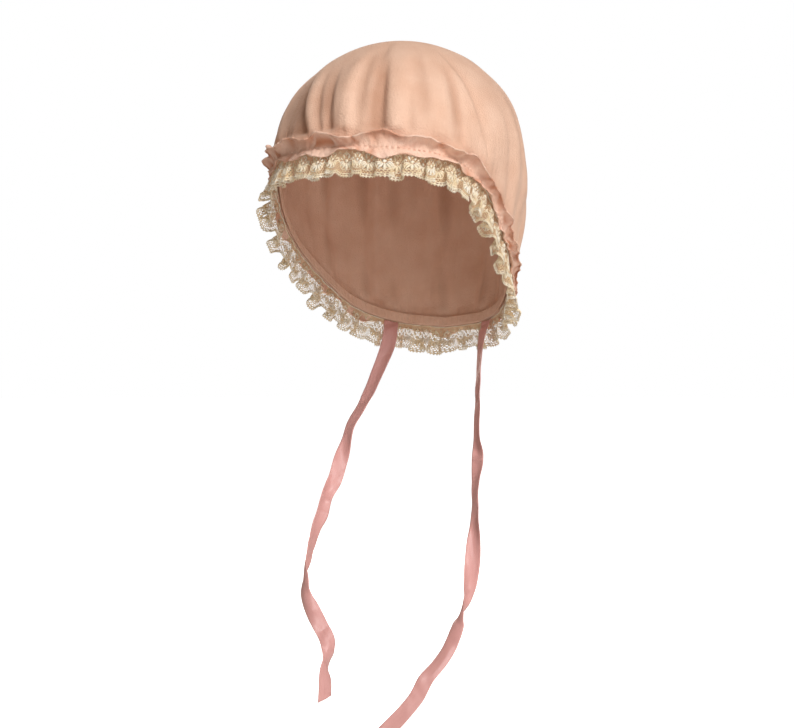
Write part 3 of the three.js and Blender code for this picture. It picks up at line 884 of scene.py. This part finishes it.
def satin_material():
    material, tree, surface = new_material("Satin ribbon")
    uv = tree.nodes.new("ShaderNodeUVMap")
    uv.uv_map = "UVMap"
    lines = {"UV": uv.outputs[0], "Across": 240.0, "Along": 1900.0}
    threads = add_node(tree, "ShaderNodeGroup", lines, node_tree=THREAD_LINES)
    streak = spread(tree, threads.outputs["Streak"], 0.3, 0.7)
    colour = mixed(tree, streak, RIBBON_DEEP, RIBBON)
    finish_cloth(tree, surface, colour, threads.outputs["Height"], 0.00004, 0.5, {
        "Roughness": 0.3, "Specular IOR Level": 0.75, "Sheen Weight": 0.2,
        "Sheen Tint": linear(255, 216, 210), "Anisotropic": 0.5,
    })
    return material


def floor_material():
    """A pale matte floor that looks as white as the surround behind it."""
    material, tree, surface = new_material("Pale floor")
    grain = add_node(tree, "ShaderNodeGroup", {"Grain per metre": 300.0}, node_tree=CREPE_GRAIN)
    share = spread(tree, grain.outputs["Mottle"], 0.2, 0.8)
    tree.links.new(mixed(tree, share, FLOOR_SHADE, FLOOR), surface.inputs["Base Color"])
    seen = tree.nodes.new("ShaderNodeLightPath").outputs["Is Camera Ray"]
    glow = calc(tree, "MULTIPLY", seen, FLOOR_GLOW)
    tree.links.new(glow, surface.inputs["Emission Strength"])
    set_sockets(surface, {"Emission Color": (1, 1, 1, 1), "Roughness": 0.9})
    return material


# Pieces


def finish_piece(piece, material, slot, *nodes):
    piece.data.materials.clear()
    piece.data.materials.append(material)
    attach(piece, "root")
    if nodes:
        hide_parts(*nodes)
    return piece


def ring_grid(columns, rows):
    """Shares round the ring and shares of the way down, for a closed cloth."""
    return np.meshgrid(np.arange(columns) / columns, np.linspace(0, 1, rows))


def make_crown():
    share, down = ring_grid(CROWN_SIDES, CROWN_ROWS)
    azimuth = rim_azimuth(share)
    way = down * meridian_length(azimuth)
    folds = main_folds(azimuth, way)
    lift = (folds + fine_gathers(azimuth, way)) * (way > 0)
    points = crown_base(azimuth, way) + crown_normal(azimuth, way) * (lift + WALL)[..., None]
    # Painted shade: the deeper a point lies in a fold, the more the crepe turns towards the fold shade
    # colour.
    painted_shade_mask = np.clip(-folds / (HOLLOW_AT * FOLD_DEPTH), 0, 1)
    crown = cloth_grid("crown_cloth", points, pole=True, painted_shade_mask=painted_shade_mask)
    thicken(crown, CREPE_THICKNESS)
    return finish_piece(crown, CREPE_MATERIAL, "crepe", "crown")


def casing_place(share, down):
    azimuth = rim_azimuth(share)
    way = meridian_length(azimuth) + CLEARANCE - CASING_WIDTH * (1 - down)
    turn = np.radians(azimuth)
    pucker = CASING_PUCKER * np.sin(turn * CASING_PUCKERS + 3 * np.sin(turn * 9))
    inwards = CLEARANCE + CASING_THICKNESS * 0.75 + pucker * np.sin(math.pi * down)
    return crown_base(azimuth, way) - crown_normal(azimuth, way) * inwards[..., None]


def make_casing():
    points = casing_place(*ring_grid(CASING_SIDES, CASING_ROWS))
    casing = cloth_grid("casing_band", points)
    thicken(casing, -CREPE_THICKNESS)
    return finish_piece(casing, CASING_MATERIAL, "crepe", "casing")


def heading_place(share, down):
    """Place of the heading at a share along it, from its top edge at 0 to its foot at 1."""
    turn = share * 2 * math.pi
    across = 2 * down - 1
    reach = np.abs(across)
    azimuth = rim_azimuth(share)
    lobes = heading_lobes(turn, across)
    phase = turn * HEADING_WAVES + sum_waves(HEADING_DRIFT_TABLE, turn) + HEADING_WAVE_LEAN * across
    crumple = crumpled(turn, across)
    upper = smooth_step(0.3, -0.3, across)
    spring = reach ** (1 + HEADING_SPRING * upper)
    lift = (HEADING_FLARE + HEADING_LOBE * lobes * (0.8 + 0.4 * upper)) * spring
    lift = lift * (1 - HEADING_SLIM * smooth_step(50, 75, azimuth) * smooth_step(165, 140, azimuth))
    lift = lift * (1 - HEADING_CALM * smooth_step(-55, -75, azimuth) * smooth_step(-165, -140, azimuth))
    lift = lift + HEADING_CRUMPLE * crumple * (0.4 + reach)
    crimp = HEADING_CRIMP * np.sin(turn * HEADING_CRIMPS + 6 * np.sin(turn * 11))
    crimp = crimp * np.exp(-((reach / 0.4) ** 2))
    edge = 1 + HEADING_RAGGED * sum_waves(HEADING_EDGE_TABLE, turn)
    edge = edge + np.where(across > 0, HEADING_RISE, HEADING_RISE / 2) * sum_waves(HEADING_RISE_TABLE, turn)
    edge = edge * (1 - HEADING_SLIM * smooth_step(35, 60, azimuth) * smooth_step(125, 95, azimuth))
    below = np.where(across < 0, HEADING_ABOVE, HEADING_BELOW) * across * edge
    below = below + HEADING_EDGE_CRUMPLE * crumpled(turn + 1, across) * reach
    sideways = HEADING_SWAY * np.cos(phase) * lobes * across**2
    return from_rim(share, below, WALL + CLEARANCE + HEADING_OFF_CROWN + lift + crimp, sideways)


def heading_lobes(turn, across):
    """How puffed out the heading is: round lobes of many sizes with narrow pockets between them."""
    bend = 1.1 * across * np.sin(turn * 9 + 1) + 0.5 * np.sin(turn * 23) * across**2
    phase = turn * HEADING_LOBES / 2 + sum_waves(HEADING_LOBE_DRIFT_TABLE, turn) + bend
    swell = np.clip(0.85 + sum_waves(HEADING_SWELL_TABLE, turn + 0.1 * across), 0.35, 1.45)
    return (np.sin(phase) ** 2 + 0.04) ** 0.45 * swell


def crumpled(turn, across):
    """Uneven crumples a few millimetres wide, from -1 to 1."""
    total = 0
    for row in CRUMPLE_TABLE:
        sway = row["swing"] * np.sin(row["turns"] * turn)
        total = total + row["depth"] * np.sin(row["count"] * turn + row["across"] * across + sway)
    return total


def make_heading():
    share, down = ring_grid(HEADING_SIDES, HEADING_ROWS)
    points = heading_place(share, down)
    azimuth = rim_azimuth(share[0])
    facing = crown_normal(azimuth, meridian_length(azimuth))
    rows_above = [roll_edge(points[0], points[1], facing, *offsets) for offsets in reversed(UPPER_HEM_ROLL)]
    rows_below = [roll_edge(points[-1], points[-2], facing, *offsets) for offsets in LOWER_HEM_ROLL]
    points = np.concatenate([np.stack(rows_above), points, np.stack(rows_below)])
    across = 2 * down - 1
    # Painted shade: a mask of the narrow valleys between the lobes and of the pockets under the upper hem,
    # where the crepe turns towards the pocket shade colour.
    lobes = heading_lobes(share * 2 * math.pi, across)
    valley = np.clip(1 - lobes / 0.6, 0, 1) * np.abs(across) ** 0.5
    under_hem = np.clip(3.5 * (lobes - 0.7), 0, 1) * np.exp(-(((across + 0.4) / 0.4) ** 2))
    pocket = np.maximum(valley, under_hem)
    above, below = [pocket[:1]] * len(UPPER_HEM_ROLL), [pocket[-1:]] * len(LOWER_HEM_ROLL)
    pocket = np.concatenate(above + [pocket] + below)
    heading = cloth_grid("heading_cloth", points, painted_shade_mask=pocket)
    thicken(heading, CREPE_THICKNESS)
    return finish_piece(heading, HEADING_MATERIAL, "crepe", "heading_frill")


def roll_edge(edge, inner, facing, onward, outward):
    """A row of a rolled hem, from the edge row, the row beside it, its facing and the offsets on and out."""
    return edge + unit(edge - inner) * onward + facing * outward


def lace_seam(share):
    """Share of the gathered edge's length at which a share of the lace's own length is sewn on."""
    return share + sum_waves(LACE_DRIFT_TABLE, share * 2 * math.pi) / (2 * math.pi * LACE_PLEATS)


def lace_place(share, down):
    """Place of the pleated lace at a share of its length and a share of its depth."""
    turn = share * 2 * math.pi
    phase = turn * LACE_PLEATS
    uneven = 1 + sum_waves(LACE_UNEVEN_TABLE, turn)
    depth = LACE_PLEAT_DEPTH * uneven * (LACE_PLEAT_AT_FOOT + (1 - LACE_PLEAT_AT_FOOT) * down)
    lean = LACE_LEAN * np.sin(turn * 23 + 1) * down
    panel = np.tanh(LACE_PANEL * np.sin(phase + lean)) / math.tanh(LACE_PANEL)
    outwards = LACE_INSET + LACE_FLARE * down + depth * panel
    sideways = -LACE_PLEAT_TUCK * depth * np.sin(2 * phase) + LACE_SWAY * down * np.sin(turn * 31)
    flutter = LACE_FLUTTER * np.sin(turn * 151 + 2 * down) * down**2
    below = CLEARANCE + down * (LACE_DEPTH + sum_waves(LACE_HANG_TABLE, turn))
    return from_rim(lace_seam(share), below, outwards + flutter, sideways)


def scallop_edge(x, width):
    """How far down the lace its edge lies, at a distance from the middle of a scallop."""
    return LACE_DEPTH - SCALLOP_DEPTH * (1 - np.cos(math.pi * x / width))


def make_lace_motif(width):
    """One scallop of the lace, drawn flat in millimetres: shell of leaves, corded edge and picots."""
    parts = Parts()
    for angle in np.linspace(-72, 72, 7):
        length = 4.1 - 0.012 * abs(angle)
        turn = math.radians(angle)
        start_x, start_y = 1.3 * math.sin(turn), SHELL_LEVEL + 1.3 * math.cos(turn)
        add_leaf(parts, start_x, start_y, angle, length, 1.5)
    for leaf in LEAF_TABLE:
        for side in (-1, 1) if leaf["angle"] else (1,):
            x = leaf["at"] * width / 2 + side * leaf["x"]
            add_leaf(parts, x, leaf["y"], side * leaf["angle"], leaf["length"], leaf["width"])
    turns = np.radians(np.linspace(-86, 86, 17))
    arch = bring_to_flat(4.3 * np.sin(turns), SHELL_LEVEL + 5.4 * np.cos(turns), 0.1)
    add_cord(parts, arch, 0.24)
    x = np.linspace(-width / 2, width / 2, 17)
    for cord in EDGE_CORD_TABLE:
        add_cord(parts, bring_to_flat(x, scallop_edge(x, width) + cord["rise"], 0.05), cord["radius"])
    for x_picot in (np.arange(PICOTS) - PICOTS // 2) * width / PICOTS:
        lean = 24 * x_picot / (width / 2)
        add_leaf(parts, x_picot, scallop_edge(x_picot, width) + 0.1, -lean, 0.95, 0.62, 0.2, 4)
    for x_bar in (np.arange(EDGE_BARS) - EDGE_BARS // 2) * width / EDGE_BARS:
        add_leaf(parts, x_bar, scallop_edge(x_bar, width) - 1.2, 0, 1.2, 0.62, 0.2, 4)
    add_cord(parts, bring_to_flat(x, np.full_like(x, 0.4)), 0.3)
    return parts.mesh("lace_motif", (1 / LACE_LENGTH, 1 / LACE_DEPTH, MM))


def make_net_motif(width):
    """One scallop's width of six-sided net, drawn flat in millimetres as narrow strips."""
    parts = Parts()
    pitch = width / NET_COLUMNS
    row_height = pitch * math.sqrt(3) / 2
    side = pitch / math.sqrt(3)
    for row in range(int(LACE_DEPTH / row_height)):
        y = NET_TOP + row * row_height
        for column in range(NET_COLUMNS):
            x = -width / 2 + (column + 0.5 * (row % 2) + 0.25) * pitch
            if y + side > scallop_edge(x, width) - NET_OFF_EDGE:
                continue
            top = np.array([x, y])
            foot = top + [0, side]
            for end in ([pitch / 2, side / 2], [-pitch / 2, side / 2]):
                add_strip(parts, foot, foot + end)
            add_strip(parts, top, foot)
    return parts.mesh("net_motif", (1 / LACE_LENGTH, 1 / LACE_DEPTH, MM))


def add_strip(parts, start, end):
    along = (end - start) / np.linalg.norm(end - start)
    aside = NET_THREAD_WIDTH / 2 * np.array([-along[1], along[0]])
    corners = np.array([start - aside, end - aside, end + aside, start + aside])
    parts.add(bring_to_flat(corners[:, 0], corners[:, 1]), [[0, 1, 2, 3]])


def make_lace():
    guide = guide_surface("lace_guide", lace_place, LACE_SIDES, LACE_ROWS)
    width = LACE_LENGTH / SCALLOPS
    net = lay_along("lace_net", guide, make_net_motif(width), SCALLOPS, NET_MATERIAL)
    motifs = lay_along("lace_motifs", guide, make_lace_motif(width), SCALLOPS, LACE_MATERIAL)
    bpy.data.objects.remove(guide)
    finish_piece(net, NET_MATERIAL, "lace", "lace_frill")
    finish_piece(motifs, LACE_MATERIAL, "lace")
    return net, motifs


def make_stitches():
    """Two rows of running stitches along the gathering line of the heading."""
    guide = guide_surface("heading_guide", heading_place, HEADING_SIDES, HEADING_ROWS)
    heading_width = HEADING_ABOVE + HEADING_BELOW
    count = round(RIM_LENGTH / STITCH_PITCH)
    parts = Parts()
    for level in STITCH_LEVELS:
        path = [(x, level * heading_width, rise) for x, rise in STITCH_ARCH]
        add_cord(parts, path, STITCH_RADIUS, 6)
    motif = parts.mesh("stitch_motif", (1 / RIM_LENGTH, 1 / heading_width, MM))
    stitches = lay_along("gathering_stitches", guide, motif, count, THREAD_MATERIAL, STITCH_UNEVENNESS, 4)
    bpy.data.objects.remove(guide)
    return finish_piece(stitches, THREAD_MATERIAL, "crepe")


def ribbon_path(route, steps):
    """Points and turns along a tie's route, on a smooth curve through its rows."""
    rows = [dict(row, step=k / (len(route) - 1)) for k, row in enumerate(route)]
    share = np.linspace(0, 1, steps + 1)
    points = np.stack([read_table(rows, "step", axis, share) for axis in "xyz"], axis=-1)
    return points, np.radians(read_table(rows, "step", "turn", share))


def make_tie(name, route, node):
    points, turn = ribbon_path(route, RIBBON_STEPS)
    down = unit(np.gradient(points, axis=0))
    level = unit(np.array([1.0, 0, 0]) - down * down[:, :1])
    deep = np.cross(down, level)
    width = level * np.cos(turn)[:, None] + deep * np.sin(turn)[:, None]
    face = np.cross(width, down)
    across = np.linspace(-1, 1, RIBBON_COLUMNS + 1)
    share = np.linspace(0, 1, RIBBON_STEPS + 1)
    twist = np.abs(np.gradient(turn))
    curl = RIBBON_WAVE * np.sin(share * 23 + len(route)) + RIBBON_CURL * np.sqrt(twist / twist.max())
    bow = curl[:, None] * (1 - across**2)
    crease = np.sin(share[:, None] * 95 + 2.5 * across + 2.5 * np.sin(share * 37)[:, None])
    selvedge = SELVEDGE_RISE * np.sin(np.clip(np.abs(across) - SELVEDGE_FROM, 0, 1) / 0.14 * math.pi / 2)
    lift = bow + selvedge + RIBBON_CREASE * crease * np.sin(share * 17 + 1)[:, None]
    cut = smooth_step(CUT_SLANT_FROM, 1, share)[:, None, None]
    slant = down[:, None] * (CUT_SLANT * across[None, :, None] * cut)
    grid = points[:, None] + width[:, None] * (across * RIBBON_WIDTH / 2)[None, :, None]
    grid = grid + face[:, None] * lift[..., None] + slant
    tie = cloth_grid(name, grid, closed=False)
    thicken(tie, RIBBON_THICKNESS)
    finish_piece(tie, RIBBON_MATERIAL, "ribbon", node)
    return tie


# Camera, lights and floor

VIEW_AZIMUTH = math.radians(22)
VIEW_DISTANCE = 0.9
VIEW_HEIGHT = -0.2075
VIEW_SIDE_SHIFT = -0.0028
AIM = np.array([0, -0.0075])
LENS = 62.8
FLOOR_HEIGHT = -0.52
FLOOR_RADIUS = 12.0
FLOOR_CORNERS = 96
WORLD_LIGHT = 0.2
WORLD_COLOUR = (1, 0.83, 0.69, 1)


def add_camera():
    back = np.array([math.sin(VIEW_AZIMUTH), -math.cos(VIEW_AZIMUTH)])
    right = np.array([math.cos(VIEW_AZIMUTH), math.sin(VIEW_AZIMUTH)])
    data = bpy.data.cameras.new("camera")
    data.lens = LENS
    data.sensor_width = 36
    data.clip_start = 0.01
    camera = new_piece("camera", data)
    place = AIM + back * VIEW_DISTANCE + right * VIEW_SIDE_SHIFT
    camera.location = (place[0], place[1], VIEW_HEIGHT)
    camera.rotation_euler = (math.pi / 2, 0, VIEW_AZIMUTH)
    bpy.context.scene.camera = camera


# Soft studio lamps. turn: degrees round from the brow, + to the wearer's left. height, away and size: metres.
LAMP_TABLE = table(
    "name turn height away size watts colour",
    ("key", 46, 0.7, 1.2, 0.5, 15.5, (1, 1, 1)),
    ("front", 40, -0.15, 1.7, 1.2, 4.5, (1, 1, 1)),
    ("back", 205, 0.35, 1.5, 1.2, 14, (1, 0.93, 0.86)),
)
LAMP_TARGET = (0, 0, -0.14)


def add_lamps():
    for lamp in LAMP_TABLE:
        data = bpy.data.lights.new(lamp["name"], "AREA")
        data.size = lamp["size"]
        data.energy = lamp["watts"]
        data.color = lamp["colour"]
        light = new_piece(lamp["name"], data)
        turn = math.radians(lamp["turn"])
        place = np.array([math.sin(turn) * lamp["away"], -math.cos(turn) * lamp["away"], lamp["height"]])
        light.location = place
        run = np.array(LAMP_TARGET) - place
        tilt = math.atan2(run[2], math.hypot(run[0], run[1]))
        light.rotation_euler = (math.pi / 2 + tilt, 0, math.atan2(run[1], run[0]) - math.pi / 2)


def add_world():
    """A white surround that lights the cap more softly than it looks behind it."""
    world = bpy.data.worlds.new("white surround")
    bpy.context.scene.world = world
    world.use_nodes = True
    tree = world.node_tree
    tree.nodes.clear()
    seen = tree.nodes.new("ShaderNodeLightPath").outputs["Is Camera Ray"]
    lighting = add_node(tree, "ShaderNodeBackground", {"Color": WORLD_COLOUR, "Strength": WORLD_LIGHT})
    behind = add_node(tree, "ShaderNodeBackground", {"Color": (1, 1, 1, 1), "Strength": 1.0})
    mix = add_node(tree, "ShaderNodeMixShader", {0: seen, 1: lighting.outputs[0], 2: behind.outputs[0]})
    add_node(tree, "ShaderNodeOutputWorld", {"Surface": mix.outputs[0]})


def add_floor():
    turns = np.arange(FLOOR_CORNERS) * 2 * math.pi / FLOOR_CORNERS
    points = bring_to_flat(FLOOR_RADIUS * np.cos(turns), FLOOR_RADIUS * np.sin(turns), FLOOR_HEIGHT)
    floor = new_piece("floor", from_arrays("floor", points, [list(range(FLOOR_CORNERS))]))
    floor.data.materials.append(floor_material())


CREPE_GRAIN = crepe_grain_group()
THREAD_LINES = thread_group()
LAY_ALONG = lay_along_tree()
CREPE_MATERIAL = crepe_material("Peach crepe", CREPE, CREPE_DEEP)
HEADING_MATERIAL = crepe_material(
    "Peach crepe of the heading", HEADING_CREPE, CREPE, shade=POCKET_SHADE, painted_shade_share=PAINTED_POCKET_SHADE_SHARE
)
CASING_MATERIAL = crepe_material("Peach crepe of the casing", CREPE, CREPE_DEEP, 900.0)
LACE_MATERIAL = lace_material("Lace thread", LACE_THREAD, LACE_THREAD_DEEP)
NET_MATERIAL = lace_material("Lace net", NET_THREAD_SHADED, LACE_THREAD_DEEP)
THREAD_MATERIAL = lace_material("Sewing thread", SEWING_THREAD, CREPE, 0.6)
RIBBON_MATERIAL = satin_material()

add_camera()
make_tie("tie_left_ribbon", LEFT_TIE_ROUTE, "tie_left")
make_tie("tie_right_ribbon", RIGHT_TIE_ROUTE, "tie_right")
crown = make_crown()
casing = make_casing()
heading = make_heading()
lace_net, lace_motifs = make_lace()
stitches = make_stitches()

add_lamps()
add_world()
add_floor()
bpy.context.scene.view_settings.view_transform = "Standard"
